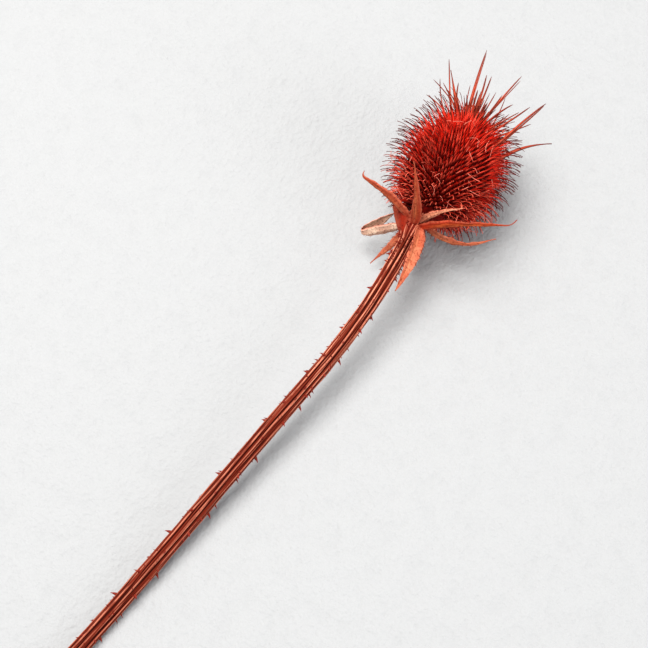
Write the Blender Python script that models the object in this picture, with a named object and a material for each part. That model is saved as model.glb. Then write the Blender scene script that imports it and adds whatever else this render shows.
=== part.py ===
"""A dried and dyed teasel thistle, cut with its stem and lying on a surface.

+Z is up and +X runs along the stem from the cut end to the tuft. The origin is the middle of the object's
box, at the surface that it lies on. The plant's own frame has its origin at the neck, where the stem meets
the head, and its axis runs up the head; PLANT carries it into the scene. Lengths are metres and angles are
degrees.
"""

import math

import bmesh
import bpy
from mathutils import Matrix, Vector

# Where the plant lies: the neck's place, the way the head points in plan, and its rise off the surface
NECK = Vector((0.07494, 0.00685, 0.0216))
HEAD_HEADING = 6.0
RISE = 5.64

# The stem: a ribbed stalk that lies level at its cut end, rises, turns below the neck and swells into
# the receptacle
STEM_LENGTH = 0.222
STEM_RADIUS_CUT = 0.0028
STEM_RADIUS_NECK = 0.0029
RECEPTACLE_RADIUS = 0.0044
RECEPTACLE_LENGTH = 0.0070
FLARE_LENGTH = 0.0060
RISES_OVER = 0.25
STEM_TURN = 13.7
TURN_STARTS_AT = 0.62
RIBS = 8
RIB_DEPTH = 0.16
STEM_CUTS = 33
CUTS_CROWD = 1.5
PRICKLES = 72
PRICKLE_HEIGHT = 0.0016
PRICKLE_RADIUS = 0.0007
PRICKLE_SINK = 0.0009
PRICKLE_TURN = 3
PRICKLES_END = 0.955

# The seed head: an egg whose cells are each drawn out into one bristle. It sits a little askew on the stem.
HEAD_LENGTH = 0.046
HEAD_RADIUS = 0.0166
HEAD_ASIDE = 0.0030
EGG = 0.12
CELLS_ROUND = 36
CELL_ROWS = 22
SPIRAL_TURN = 110.0
FIRST_BRISTLE_ROW = 3
CROWN_ROW = 19
BRISTLE_SHORT = 0.0046
BRISTLE_GAIN = 0.0072
BRISTLE_WIDTH = 0.0011
WAIST_AT = 0.34
ROOT_ANGLE_BASE = 113.0
ROOT_ANGLE_APEX = 14.0
CURL = 26.0
GAP = 0.0003

# The crown: flat awns round the apex. Each tall one is a turn round the axis, a lean off it, a length, a bend
# and how far up the head its root is, from 0 to 1; the others are spread by the golden angle.
TALL_AWNS = (
    (-72.0, 48.0, 0.0251, 15.0, 0.930),
    (-62.0, 30.0, 0.0302, -2.0, 0.807),
    (-55.0, 36.0, 0.0245, 0.0, 0.855),
    (-21.0, 24.0, 0.0335, -6.0, 0.855),
    (-80.0, 19.0, 0.0210, -4.0, 0.923),
    (-4.0, 42.0, 0.0170, 5.0, 0.839),
    (1.0, 29.0, 0.0230, 0.0, 0.885),
    (33.0, 36.0, 0.0190, 4.0, 0.860),
    (47.0, 22.0, 0.0300, 2.0, 0.911),
    (60.0, 27.0, 0.0334, 2.0, 0.645),
    (95.0, 8.0, 0.0235, -7.0, 0.853),
    (100.0, 21.0, 0.0309, 20.0, 0.657),
    (152.0, 30.0, 0.0270, 6.0, 0.881),
)
AWNS = 26
AWN_LONGEST = 0.024
AWN_SHORTEST = 0.013
AWN_WIDTH = 0.0023
AWN_THICKNESS = 0.0011
AWN_TIP_SHARE = 0.16
AWN_BEND = 16.0
AWN_SINK = 0.0035
CROWN_FROM = 0.80
CROWN_TO = 0.985
AWN_LEAN_INNER = 6.0
AWN_LEAN_OUTER = 54.0
GOLDEN_ANGLE = 137.508

# The bracts under the head. Each row: name, whorl (0 is next to the head), turn round the axis, sideways
# bend, length, width, and the angle to the axis at the root and at the tip. SHARP is bent double there.
BRACT_CLEARANCE = 0.0006
WHORL_DROPS = (0.0034, 0.0052, 0.0069)
BRACT_THICKNESS = 0.0007
BRACT_STEPS = 13
BRACT_FOLD = 0.26
SHARP_AT = 0.55
SHARP_OVER = 0.16
SHARP = "bract_bent_double"
# The bracts that stay broad, and the share of their length over which each then narrows to its tip
NARROWS_OVER = {SHARP: 0.26, "bract_reflexed": 0.55, "bract_left": 0.50}
BRACTS = (
    ("bract_front", 1, 4.0, -34.0, 0.0285, 0.0047, 79.0, 51.0),
    ("bract_small", 0, 31.0, 38.0, 0.0205, 0.0035, 75.0, 77.0),
    ("bract_reflexed", 2, 41.0, -10.0, 0.0305, 0.0060, 152.0, 190.0),
    ("bract_long", 1, 56.0, 22.0, 0.0400, 0.0048, 80.0, 78.0),
    ("bract_right", 0, 98.0, -34.0, 0.0290, 0.0048, 108.0, 50.0),
    ("bract_under", 1, 172.0, 0.0, 0.0162, 0.0044, 116.0, 142.0),
    ("bract_left_low", 2, -146.0, 10.0, 0.0200, 0.0046, 120.0, 132.0),
    (SHARP, 1, -118.0, 0.0, 0.0340, 0.0050, 109.0, -50.0),
    ("bract_left", 0, -46.0, -30.0, 0.0260, 0.0050, 80.0, 84.0),
)

# What the surface does: bristles that reach this far below it are blunted, and awns bend to lie on it
BLUNT_BELOW = 0.0004
AWN_CLEARANCE = 0.0006

# Colour, roughness and metallic value of each material
STEM_LOOK = ("stem_dyed_fibre", (0.115, 0.020, 0.009), 0.62, 0.0)
HEAD_LOOK = ("head_dyed_bristle", (0.290, 0.014, 0.008), 0.55, 0.0)
BRACT_LOOK = ("bract_dry_leaf", (0.370, 0.075, 0.028), 0.66, 0.0)

AXIS = Vector((0.0, 0.0, 1.0))


def clear_scene():
    for obj in list(bpy.data.objects):
        bpy.data.objects.remove(obj, do_unlink=True)


def heading(angle, rise):
    """The unit vector that points this way in plan and climbs by rise."""
    turn, climb = math.radians(angle), math.radians(rise)
    return Vector((math.cos(turn) * math.cos(climb), math.sin(turn) * math.cos(climb), math.sin(climb)))


def plant_matrix():
    """The plant's frame: its Z runs up the head, its X points away from the surface."""
    up_head = heading(HEAD_HEADING, RISE)
    off_surface = (AXIS - up_head * AXIS.dot(up_head)).normalized()
    aside = up_head.cross(off_surface)
    turned = Matrix((off_surface, aside, up_head)).transposed()
    return Matrix.Translation(NECK) @ turned.to_4x4()


PLANT = plant_matrix()


def material(look):
    name, colour, roughness, metallic = look
    made = bpy.data.materials.new(name)
    made.use_nodes = True
    shader = made.node_tree.nodes["Principled BSDF"]
    shader.inputs["Base Color"].default_value = (*colour, 1.0)
    shader.inputs["Roughness"].default_value = roughness
    shader.inputs["Metallic"].default_value = metallic
    return made


def linked(name, mesh, collection, look=None):
    obj = bpy.data.objects.new(name, mesh)
    collection.objects.link(obj)
    if look is not None:
        mesh.materials.append(look)
    return obj


def mesh_from(bm, name):
    mesh = bpy.data.meshes.new(name)
    bm.to_mesh(mesh)
    bm.free()
    return mesh


def smooth(share):
    """0 to 1 with level ends."""
    t = min(max(share, 0.0), 1.0)
    return t * t * (3.0 - 2.0 * t)


def radial(turn, angle):
    """In the plant's frame, the unit vector at this turn round the axis and at this angle to it."""
    out = Vector((math.cos(turn), math.sin(turn), 0.0))
    return out * math.sin(angle) + AXIS * math.cos(angle)


def lay_down(bm):
    """Carries a piece from the plant's frame into place and presses what is low onto the surface."""
    for vert in bm.verts:
        vert.co = PLANT @ vert.co
        vert.co.z = max(vert.co.z, 0.0)


def fuse(obj, collection):
    """Joins every mesh of the collection to obj with one Boolean union, and removes them."""
    union = obj.modifiers.new("union", "BOOLEAN")
    union.operation = "UNION"
    union.operand_type = "COLLECTION"
    union.collection = collection
    union.solver = "MANIFOLD"
    bpy.context.view_layer.update()
    graph = bpy.context.evaluated_depsgraph_get()
    joined = bpy.data.meshes.new_from_object(obj.evaluated_get(graph))
    obj.modifiers.clear()
    obj.data = joined
    for member in list(collection.objects):
        bpy.data.objects.remove(member, do_unlink=True)
    bpy.data.collections.remove(collection)


def helpers(name):
    collection = bpy.data.collections.new(name)
    bpy.context.scene.collection.children.link(collection)
    return collection


def stem_line(steps):
    """Points and directions along the stem's middle, from the cut end to the neck.

    Its heading starts STEM_TURN short of the head's and swings round smoothly to it. It starts level.
    """
    step = STEM_LENGTH / steps
    ways = []
    for i in range(steps + 1):
        turned = smooth((i / steps - TURN_STARTS_AT) / (1.0 - TURN_STARTS_AT))
        ways.append(heading(HEAD_HEADING - STEM_TURN * (1.0 - turned), RISE * smooth(i / steps / RISES_OVER)))
    points = [NECK.copy()]
    for i in range(steps, 0, -1):
        points.append(points[-1] - (ways[i] + ways[i - 1]).normalized() * step)
    points.reverse()
    return points, ways


def stem_radius(share):
    """The stalk's mean radius: nearly even, then the flare into the receptacle."""
    even = STEM_RADIUS_CUT + (STEM_RADIUS_NECK - STEM_RADIUS_CUT) * share
    return even + (RECEPTACLE_RADIUS - even) * flare(share)


def flare(share):
    """0 on the stalk and 1 on the receptacle."""
    return smooth(1.0 + (RECEPTACLE_LENGTH - (1.0 - share) * STEM_LENGTH) / FLARE_LENGTH)


def rib_share(turn, share):
    """How far the ribs and the grooves between them stand off the mean radius, fading at the flare.

    The lowest groove lies between two ribs, which the stem rests on.
    """
    return 1.0 - 0.5 * RIB_DEPTH * (1.0 - 0.7 * flare(share)) * math.cos(RIBS * (turn + math.pi / 2.0))


def stem_frame(points, ways, share):
    """(point, sideways, upwards, along) on the stem's middle at this share of its length."""
    place = share * (len(points) - 1)
    low = min(int(place), len(points) - 2)
    part = place - low
    point = points[low].lerp(points[low + 1], part)
    along = ways[low].lerp(ways[low + 1], part).normalized()
    aside = AXIS.cross(along).normalized()
    return point, aside, along.cross(aside), along


def stem(collection, look):
    """A cylinder cut into rings, each ring carried onto the stem's middle line and ribbed.

    The rings crowd together towards the neck.
    """
    points, ways = stem_line(2 * STEM_CUTS)
    bm = bmesh.new()
    bmesh.ops.create_cone(bm, cap_ends=True, segments=2 * RIBS, radius1=1.0, radius2=1.0, depth=1.0)
    uprights = [e for e in bm.edges if abs(e.verts[0].co.z - e.verts[1].co.z) > 0.5]
    bmesh.ops.subdivide_edges(bm, edges=uprights, cuts=STEM_CUTS)
    for vert in bm.verts:
        share = 1.0 - (0.5 - vert.co.z) ** CUTS_CROWD if vert.co.z < 0.4999 else 1.0
        turn = math.atan2(vert.co.y, vert.co.x)
        point, aside, up, _ = stem_frame(points, ways, share)
        radius = stem_radius(share) * rib_share(turn, share)
        vert.co = point + (aside * math.cos(turn) + up * math.sin(turn)) * radius
        vert.co.z = max(vert.co.z, 0.0)
    stalk = linked("stem", mesh_from(bm, "stem"), collection, look)
    thorns = helpers("stem_prickles")
    for i in range(PRICKLES):
        prickle(thorns, points, ways, i)
    fuse(stalk, thorns)
    return stalk


def prickle(collection, points, ways, index):
    """A four-sided thorn on a rib. They stand closer together towards the neck."""
    share = PRICKLES_END * (1.0 - (1.0 - (index + 0.5) / PRICKLES) ** 1.35)
    turn = math.tau * (index * PRICKLE_TURN % RIBS + 0.5) / RIBS
    point, aside, up, along = stem_frame(points, ways, share)
    out = aside * math.cos(turn) + up * math.sin(turn)
    radius = stem_radius(share) * rib_share(turn, share)
    tip_height = (point + out * (radius + PRICKLE_HEIGHT)).z
    if tip_height < PRICKLE_RADIUS:
        return
    lean = (out - along * 0.25).normalized()
    place = Matrix.Translation(point + out * (radius - PRICKLE_SINK))
    turned = lean.to_track_quat("Z", "Y").to_matrix().to_4x4()
    height = PRICKLE_HEIGHT + PRICKLE_SINK
    bm = bmesh.new()
    bmesh.ops.create_cone(
        bm, cap_ends=True, segments=4, radius1=PRICKLE_RADIUS * 1.4, radius2=0.0, depth=height,
        matrix=place @ turned @ Matrix.Translation((0.0, 0.0, height / 2.0)),
    )
    linked(f"prickle_{index:02d}", mesh_from(bm, "prickle"), collection)


def egg(height_share, turn):
    """The head's surface in the plant's frame, from the base at 0 to the apex at 1."""
    polar = math.pi * height_share
    radius = HEAD_RADIUS * math.sin(polar) * (1.0 + EGG * math.cos(polar))
    height = GAP + HEAD_LENGTH * (1.0 - math.cos(polar)) / 2.0
    return Vector((radius * math.cos(turn), radius * math.sin(turn) + HEAD_ASIDE, height))


def bristle_angles(height_share):
    """The angle to the axis at a bristle's root and at its tip, which curls back towards the base."""
    root = ROOT_ANGLE_BASE + (ROOT_ANGLE_APEX - ROOT_ANGLE_BASE) * height_share
    return math.radians(root), math.radians(root + CURL * (1.0 - 0.45 * height_share**2))


def draw_out(bm, face, height_share):
    """Draws one cell of the head out into a broad-based bristle with a bend at its waist.

    It ends in a point, or in a small flat where it stands on the surface.
    """
    centre = face.calc_center_median()
    turn = math.atan2(centre.y - HEAD_ASIDE, centre.x)
    root, tip = bristle_angles(height_share)
    length = BRISTLE_SHORT + BRISTLE_GAIN * height_share**0.8
    first = radial(turn, root + 0.2 * (tip - root))
    last = radial(turn, root + 0.75 * (tip - root))
    waist = centre + first * length * WAIST_AT
    end = waist + last * length * (1.0 - WAIST_AT)
    drawn = bmesh.ops.extrude_discrete_faces(bm, faces=[face])["faces"][0]
    for vert in drawn.verts:
        off = vert.co - centre
        off -= first * off.dot(first)
        vert.co = waist + off.normalized() * BRISTLE_WIDTH / math.sqrt(2.0)
    if (PLANT @ end).z < -BLUNT_BELOW:
        drawn = bmesh.ops.extrude_discrete_faces(bm, faces=[drawn])["faces"][0]
        for vert in drawn.verts:
            vert.co += end - waist
    else:
        bmesh.ops.poke(bm, faces=[drawn])["verts"][0].co = end


def seed_head(collection, look):
    """A sphere's rings and cells, set on the egg with a spiral turn, and each cell drawn out."""
    bm = bmesh.new()
    bmesh.ops.create_uvsphere(bm, u_segments=CELLS_ROUND, v_segments=CELL_ROWS, radius=1.0)
    cells = []
    for face in bm.faces:
        centre = face.calc_center_median().normalized()
        row = int(CELL_ROWS * (1.0 - math.acos(centre.z) / math.pi))
        column = int(CELLS_ROUND * (math.atan2(centre.y, centre.x) / math.tau + 1.0))
        cells.append((face, row, column))
    for vert in bm.verts:
        share = 1.0 - math.acos(max(-1.0, min(1.0, vert.co.z))) / math.pi
        vert.co = egg(share, math.atan2(vert.co.y, vert.co.x) + math.radians(SPIRAL_TURN) * share)
    for face, row, column in cells:
        thinned = row >= CROWN_ROW - 1 or row == FIRST_BRISTLE_ROW
        if FIRST_BRISTLE_ROW <= row <= CROWN_ROW and not (thinned and column % 2):
            draw_out(bm, face, (row + 0.5) / CELL_ROWS)
    lay_down(bm)
    head = linked("seed_head", mesh_from(bm, "seed_head"), collection, look)
    awns = helpers("crown_awns")
    for i, (turn, lean, length, bend, share) in enumerate(TALL_AWNS + tuple(awn_by_rule(i) for i in range(AWNS))):
        root = egg(share, math.radians(turn))
        awn(awns, f"awn_{i:02d}", root, math.radians(turn), math.radians(lean), length, math.radians(bend))
    fuse(head, awns)
    return head


def awn_by_rule(index):
    """A row like those above for a shorter awn: the inner ones stand up, the outer ones fan out lower down."""
    share = math.sqrt((index + 0.5) / AWNS)
    lean = AWN_LEAN_INNER + (AWN_LEAN_OUTER - AWN_LEAN_INNER) * share**1.2
    length = AWN_SHORTEST + (AWN_LONGEST - AWN_SHORTEST) * (0.5 + 0.5 * math.cos(2.4 * index * index))
    root_share = CROWN_TO + (CROWN_FROM - CROWN_TO) * share
    return GOLDEN_ANGLE * index, lean, length, AWN_BEND * math.sin(5.1 * index + 0.7), root_share


def awn(collection, name, root, turn, lean, length, bend):
    """A flat awn of the crown, which leans from its root and bends away from the axis."""
    aside = radial(turn + math.pi / 2.0, math.pi / 2.0)
    bm = bmesh.new()
    bmesh.ops.create_cone(
        bm, cap_ends=True, segments=4, radius1=AWN_WIDTH / 2.0, radius2=AWN_WIDTH / 2.0 * AWN_TIP_SHARE,
        depth=length, matrix=Matrix.Translation((0.0, 0.0, length / 2.0)),
    )
    uprights = [e for e in bm.edges if abs(e.verts[0].co.z - e.verts[1].co.z) > length / 2.0]
    bmesh.ops.subdivide_edges(bm, edges=uprights, cuts=1)
    for vert in bm.verts:
        way = radial(turn, lean + bend * vert.co.z / length)
        middle = PLANT @ (root + way * (vert.co.z - AWN_SINK))
        middle.z = max(middle.z, AWN_CLEARANCE)
        thick = way.cross(aside) * vert.co.y * AWN_THICKNESS / AWN_WIDTH
        vert.co = middle + PLANT.to_3x3() @ (aside * vert.co.x + thick)
    linked(name, mesh_from(bm, "awn"), collection)


def bract_line(row):
    """Points, directions and side directions along a bract's middle, in the plant's frame."""
    name, whorl, turn, bend, length, _, root_angle, tip_angle = row
    drop = WHORL_DROPS[whorl]
    reach = stem_radius(1.0 - drop / STEM_LENGTH) + BRACT_CLEARANCE
    point = radial(math.radians(turn), math.pi / 2.0) * reach - AXIS * drop
    line = []
    steps = BRACT_STEPS - 1
    for i in range(steps + 1):
        share = i / steps
        eased = smooth((share - SHARP_AT) / SHARP_OVER + 0.5) if name == SHARP else share
        angle = math.radians(root_angle + (tip_angle - root_angle) * eased)
        side = radial(math.radians(turn + bend * share + 90.0), math.pi / 2.0)
        way = radial(math.radians(turn + bend * share), angle)
        if i:
            point = point + (way + line[-1][1]).normalized() * length / steps
        line.append((point, way, side))
    return line


def bract_half_width(name, share, width):
    """Half a bract's width: widest soon after the root, then a long taper to a point.

    Some stay broad and narrow late, and the one that is bent double pinches in at the bend.
    """
    shape = (1.0 - share) ** 1.15 * (1.0 + 0.35 * share) / 0.92
    if name in NARROWS_OVER:
        shape = min(((1.0 - share) / NARROWS_OVER[name]) ** 0.8, 1.0)
    if name == SHARP:
        shape *= 1.0 - 0.3 * math.exp(-(((share - SHARP_AT) / 0.06) ** 2))
    shape *= 0.70 + 0.30 * smooth(share / 0.12)
    return max(0.5 * width * shape, 0.00035)


def bract(collection, look, row):
    """A narrow leaf folded along its midrib, thickened alike on both faces."""
    name, width = row[0], row[5]
    line = bract_line(row)
    bm = bmesh.new()
    bmesh.ops.create_grid(bm, x_segments=BRACT_STEPS - 1, y_segments=2, size=1.0)
    for vert in bm.verts:
        share, side = (vert.co.x + 1.0) / 2.0, vert.co.y
        point, way, across = line[round(share * (BRACT_STEPS - 1))]
        half = bract_half_width(name, share, width)
        vert.co = point + across * half * side + way.cross(across) * half * abs(side) * BRACT_FOLD
    bmesh.ops.triangulate(bm, faces=bm.faces[:])
    bmesh.ops.solidify(bm, geom=bm.faces[:], thickness=BRACT_THICKNESS)
    bmesh.ops.recalc_face_normals(bm, faces=bm.faces[:])
    bm.transform(PLANT)
    return linked(name, mesh_from(bm, name), collection, look)


def main():
    clear_scene()
    thistle = helpers("dried_thistle")
    stem(thistle, material(STEM_LOOK))
    seed_head(thistle, material(HEAD_LOOK))
    bract_look = material(BRACT_LOOK)
    for row in BRACTS:
        bract(thistle, bract_look, row)


main()
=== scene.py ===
"""The looks of a dried and dyed teasel thistle head that lies on a pale surface.

Laid out as an add-on: the sizes and colours are properties, and each group of pieces has an operator. The
bracts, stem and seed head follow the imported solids' rules, in the same place, with finer surfaces. The plant's
own frame has its origin at the neck, where the stem meets the head, and its third axis runs up the head.
Lengths are metres. Every piece is worked out with numpy as whole arrays.
"""

import math

import bpy
import numpy as np
from bpy.props import FloatProperty, FloatVectorProperty, IntProperty, PointerProperty
from mathutils import Matrix
from numpy import cos, exp, maximum, minimum, radians, sin


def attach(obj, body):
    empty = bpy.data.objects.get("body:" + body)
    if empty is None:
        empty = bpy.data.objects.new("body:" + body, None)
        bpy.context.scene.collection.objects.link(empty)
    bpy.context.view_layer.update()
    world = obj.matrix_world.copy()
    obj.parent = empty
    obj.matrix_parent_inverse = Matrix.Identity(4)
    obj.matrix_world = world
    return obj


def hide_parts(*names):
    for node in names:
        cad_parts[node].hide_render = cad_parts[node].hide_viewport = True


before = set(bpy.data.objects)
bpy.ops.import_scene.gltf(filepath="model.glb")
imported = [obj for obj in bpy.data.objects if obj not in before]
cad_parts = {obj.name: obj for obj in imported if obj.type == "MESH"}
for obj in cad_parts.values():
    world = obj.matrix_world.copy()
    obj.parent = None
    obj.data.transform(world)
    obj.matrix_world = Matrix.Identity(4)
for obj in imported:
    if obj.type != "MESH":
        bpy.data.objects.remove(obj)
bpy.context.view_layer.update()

bl_info = {
    "name": "Dried teasel thistle",
    "version": (1, 0, 0),
    "blender": (4, 5, 0),
    "location": "3D view, sidebar, Thistle tab",
    "description": "Builds a dried, dyed teasel thistle head with its stem, bracts, bristles and awns",
    "category": "Add Mesh",
}

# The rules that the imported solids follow
NECK = np.array((0.07494, 0.00685, 0.0216))
HEAD_HEADING, RISE = 6.0, 5.64
STEM_LENGTH, STEM_RADIUS_CUT, STEM_RADIUS_NECK = 0.222, 0.0028, 0.0029
RECEPTACLE_RADIUS, RECEPTACLE_LENGTH, FLARE_LENGTH = 0.0044, 0.007, 0.006
RISES_OVER, STEM_TURN, TURN_STARTS_AT = 0.25, 13.7, 0.62
RIBS, RIB_DEPTH = 8, 0.16
THORNS, THORNS_END, THORN_TURN, THORN_LEAN, THORN_FOOT = 72, 0.955, 3, 0.55, 0.0006
HEAD_LENGTH, HEAD_RADIUS, HEAD_ASIDE, EGG, HEAD_GAP = 0.046, 0.0166, 0.003, 0.12, 0.0003
FIRST_SHARE, LAST_SHARE = 0.135, 0.975
ROOT_ANGLE_BASE, ROOT_ANGLE_APEX, CURL = 113.0, 14.0, 26.0
AWNS, AWN_LONGEST, AWN_SHORTEST, AWN_SINK = 26, 0.024, 0.013, 0.0035
CROWN_FROM, CROWN_TO, LEAN_INNER, LEAN_OUTER = 0.8, 0.985, 6.0, 54.0
# Each tall awn: turn round the axis, lean off it, length, bend, how far up the head its root is, how broad it is
TALL_AWNS = np.array((
    (-72, 48, 0.0251, 15, 0.93, 0.7),
    (-62, 30, 0.0302, -2, 0.807, 0.85),
    (-55, 36, 0.0245, 0, 0.855, 2.8),
    (-21, 24, 0.0335, -6, 0.855, 0.75),
    (-80, 19, 0.021, -4, 0.923, 0.8),
    (-4, 42, 0.017, 5, 0.839, 0.8),
    (1, 29, 0.023, 0, 0.885, 0.8),
    (33, 36, 0.019, 4, 0.86, 0.7),
    (47, 22, 0.03, 2, 0.911, 0.8),
    (60, 27, 0.0334, 2, 0.645, 1.3),
    (95, 8, 0.0235, -7, 0.853, 0.8),
    (100, 21, 0.0309, 20, 0.657, 3.1),
    (152, 30, 0.027, 6, 0.881, 1.1),
))
BRACT_CLEARANCE, BRACT_ROOT, WHORL_DROPS, BRACT_FOLD = 0.0006, 0.0018, (0.0034, 0.0052, 0.0069), 0.26
SHARP, SHARP_AT, SHARP_OVER = "bract_bent_double", 0.55, 0.16
NARROWS_OVER = {SHARP: 0.26, "bract_reflexed": 0.55, "bract_left": 0.5}
# Each bract: node, whorl, turn round the axis, sideways bend, length, width, angle to the axis at its root and
# at its tip; then how far it hooks at the tip, how pale it has dried, and how much its margins wave
BRACTS = (
    ("bract_front", 1, 4, -34, 0.0285, 0.0047, 79, 51, 0.2, 0.12, 0.5),
    ("bract_small", 0, 31, 38, 0.0205, 0.0035, 75, 77, -0.2, 0.82, 0.8),
    ("bract_reflexed", 2, 41, -10, 0.0305, 0.0054, 152, 190, 0.1, 0.42, 0.5),
    ("bract_long", 1, 56, 22, 0.04, 0.0048, 80, 78, -1, 0.02, 0.9),
    ("bract_right", 0, 98, -34, 0.029, 0.0048, 108, 50, 0.3, 0.35, 1),
    ("bract_under", 1, 172, 0, 0.0162, 0.0044, 116, 142, 0, 0.15, 0.6),
    ("bract_left_low", 2, -146, 10, 0.02, 0.0046, 120, 132, 0.2, 0.3, 1),
    (SHARP, 1, -118, 0, 0.034, 0.005, 109, -50, 0, 1, 0.4),
    ("bract_left", 0, -46, -30, 0.026, 0.005, 80, 84, -1.5, 0.2, 0.5),
)
CAMERA_TURN, CAMERA_HEIGHT, CAMERA_DISTANCE, CAMERA_VIEW = -58.94, 60.0, 0.7202, 20.0
CAMERA_TARGET, LAMPS_AIM, LAMPS_AWAY = (0.02487, 0.02008, 0.0), (0.06, 0.01, 0.02), 1.2

GOLDEN, QUARTER, UP = math.radians(137.508), math.pi / 2, np.array((0.0, 0.0, 1.0))
EGG_MIDDLE = np.array((0.0, HEAD_ASIDE, 0.0))
# How soon a piece bends onto the surface, and what that adds high up; then how far a blade stays off it
BENDS_WITHIN, BENDING_ADDS, OFF_FLOOR = 0.0006, 0.00005, 0.00002
# How high the middles of bristles, awns and florets stay, a bristle's least half width, and how deep spines root
BRISTLES_REST, AWNS_REST, FLORETS_REST, FINEST, SPINE_FOOT = 0.00022, 0.0006, 0.0004, 0.00012, 0.0003
# Painted highlight on each bristle corner, low ones painted shade; an awn's profile as (across, outwards) rows
LIT_CORNERS = np.array((0.9, 0, 0.8, 0, 1, 0.2))
AWN_PROFILE = np.array((
    (0.86, -0.05), (0, -0.88), (-0.86, -0.05), (-1, 0.5), (-0.55, 0.1), (0, -0.12), (0.55, 0.1), (1, 0.5)))


def a_colour(name, description, default):
    return FloatVectorProperty(name=name, description=description, subtype="COLOR", size=3, min=0, max=1,
                               default=default)


def a_length(name, description, default):
    return FloatProperty(name=name, description=description, unit="LENGTH", min=0, default=default, precision=5)


def a_number(name, description, default, least=0):
    return IntProperty(name=name, description=description, min=least, default=default)


class ThistleHeadSettings(bpy.types.PropertyGroup):
    bristles: a_number("Bristles", "How many bristles the head carries", 1840, least=10)
    bristle_short: a_length("Shortest bristle", "Length of the bristles by the base", 0.0046)
    bristle_gain: a_length("Bristle gain", "How much longer the bristles are at the apex", 0.0072)
    bristle_width: a_length("Bristle width", "Width of a bristle at its waist", 0.00086)
    awn_width: a_length("Awn width", "Width of a crown awn at its widest", 0.00135)
    fine_awns: a_number("Fine awns", "How many thin awns stand between the long ones", 46)
    florets: a_number("Florets", "How many dried florets cling among the bristles", 110)
    body_colour: a_colour("Bristle colour", "Dyed red of a bristle's middle", (0.78, 0.012, 0.0035))
    # Partly the roots' deep dye, partly painted shade where the bristles stand close; also the core's colour
    root_and_gap_shade_colour: a_colour("Root colour", "Dark crimson where the bristles stand close", (0.085, 0.0012, 0.0008))
    # Also the painted salmon highlight on the bristles' keels and low tips, and on the awns' pale lines
    tip_and_highlight_colour: a_colour("Tip colour", "Salmon of the dry bristle tips", (0.85, 0.13, 0.075))
    # Painted shade: the dark of the fine bristle tips, the awns' tips and each awn's channel
    tip_and_channel_shade_colour: a_colour("Dark tip colour", "Dark brown red of the finest tips", (0.06, 0.006, 0.0042))
    awn_colour: a_colour("Awn colour", "Orange red of the crown awns", (0.48, 0.052, 0.018))
    floret_colour: a_colour("Floret colour", "Pale pinkish tan of the dried florets", (0.84, 0.24, 0.16))


class ThistleStemSettings(bpy.types.PropertyGroup):
    ridge_sharpness: FloatProperty(name="Ridge sharpness", description="How sharp the stem's ribs are",
                                   default=0.55, min=0, max=1, subtype="FACTOR")
    thorn_height: a_length("Thorn height", "How far the large thorns stand off the stem", 0.0019)
    fine_spines: a_number("Fine spines", "How many small spines the stem carries", 620)
    # Painted highlight on the stem's ribs
    ridge_highlight_colour: a_colour("Ridge colour", "Orange brown of the dry ribs", (0.66, 0.225, 0.135))
    # Painted shade in the stem's grooves; also the dark of its fibre streaks
    groove_shade_and_streak_colour: a_colour("Groove colour", "Dark reddish brown of the grooves", (0.012, 0.0006, 0.0005))
    bark_colour: a_colour("Bark colour", "Reddish brown between ridge and groove", (0.16, 0.017, 0.0068))
    thorn_colour: a_colour("Thorn colour", "Red of the thorns' points", (0.17, 0.009, 0.006))
    pith_colour: a_colour("Pith colour", "Tan of the soft middle at the cut", (0.5, 0.3, 0.17))


class ThistleBractSettings(bpy.types.PropertyGroup):
    margin_wave: a_length("Margin wave", "How far the margins wave", 0.00045)
    midrib_height: a_length("Midrib height", "How far the midrib stands off the underside", 0.0003)
    leaf_colour: a_colour("Leaf colour", "Tan brown of a dry bract's middle", (0.58, 0.11, 0.026))
    margin_colour: a_colour("Margin colour", "Dyed red of a bract's margins", (0.46, 0.026, 0.008))
    vein_colour: a_colour("Vein colour", "Dark red brown between the veins", (0.15, 0.01, 0.004))
    pale_colour: a_colour("Pale colour", "Cream where a bract has bleached", (0.88, 0.36, 0.2))


class ThistleStageSettings(bpy.types.PropertyGroup):
    floor_colour: a_colour("Floor colour", "Pale plaster of the floor", (0.34, 0.343, 0.347))
    key_power: FloatProperty(name="Key light", description="Power of the soft light from the upper left",
                             unit="POWER", default=39, min=0)
    fill: FloatProperty(name="Fill", description="Strength of the pale light from all round", default=0.62, min=0)


# ---- shapes

def between(low, high, share):
    return low + (high - low) * share


def levels(steps):
    """0 to 1 in even steps, as one row."""
    return np.linspace(0, 1, steps)[None]


def turns(sides):
    return np.arange(sides) * math.tau / sides


def unit(vectors):
    return vectors / maximum(np.linalg.norm(vectors, axis=-1, keepdims=True), 1e-12)


def smooth(share):
    """0 to 1 with level ends: 3 t squared less 2 t cubed."""
    t = np.clip(share, 0, 1)
    return t * t * (3 - 2 * t)


def heading(angle, rise):
    """Unit vectors that point this way in plan and climb by rise, both in degrees."""
    turn, climb = np.broadcast_arrays(radians(angle), radians(rise))
    return np.stack((cos(turn) * cos(climb), sin(turn) * cos(climb), sin(climb)), axis=-1)


def radial(turn, angle=QUARTER):
    """In the plant's frame, unit vectors at this turn round the axis and at this angle to it."""
    turn, angle = np.broadcast_arrays(turn, angle)
    return np.stack((cos(turn) * sin(angle), sin(turn) * sin(angle), cos(angle)), axis=-1)


UP_HEAD = heading(HEAD_HEADING, RISE)
OFF_SURFACE = unit(UP - UP_HEAD * UP_HEAD[2])
PLANT_AXES = np.stack((OFF_SURFACE, np.cross(UP_HEAD, OFF_SURFACE), UP_HEAD))


def placed(points):
    """Carries points from the plant's frame into the scene."""
    return points @ PLANT_AXES + NECK


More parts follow.
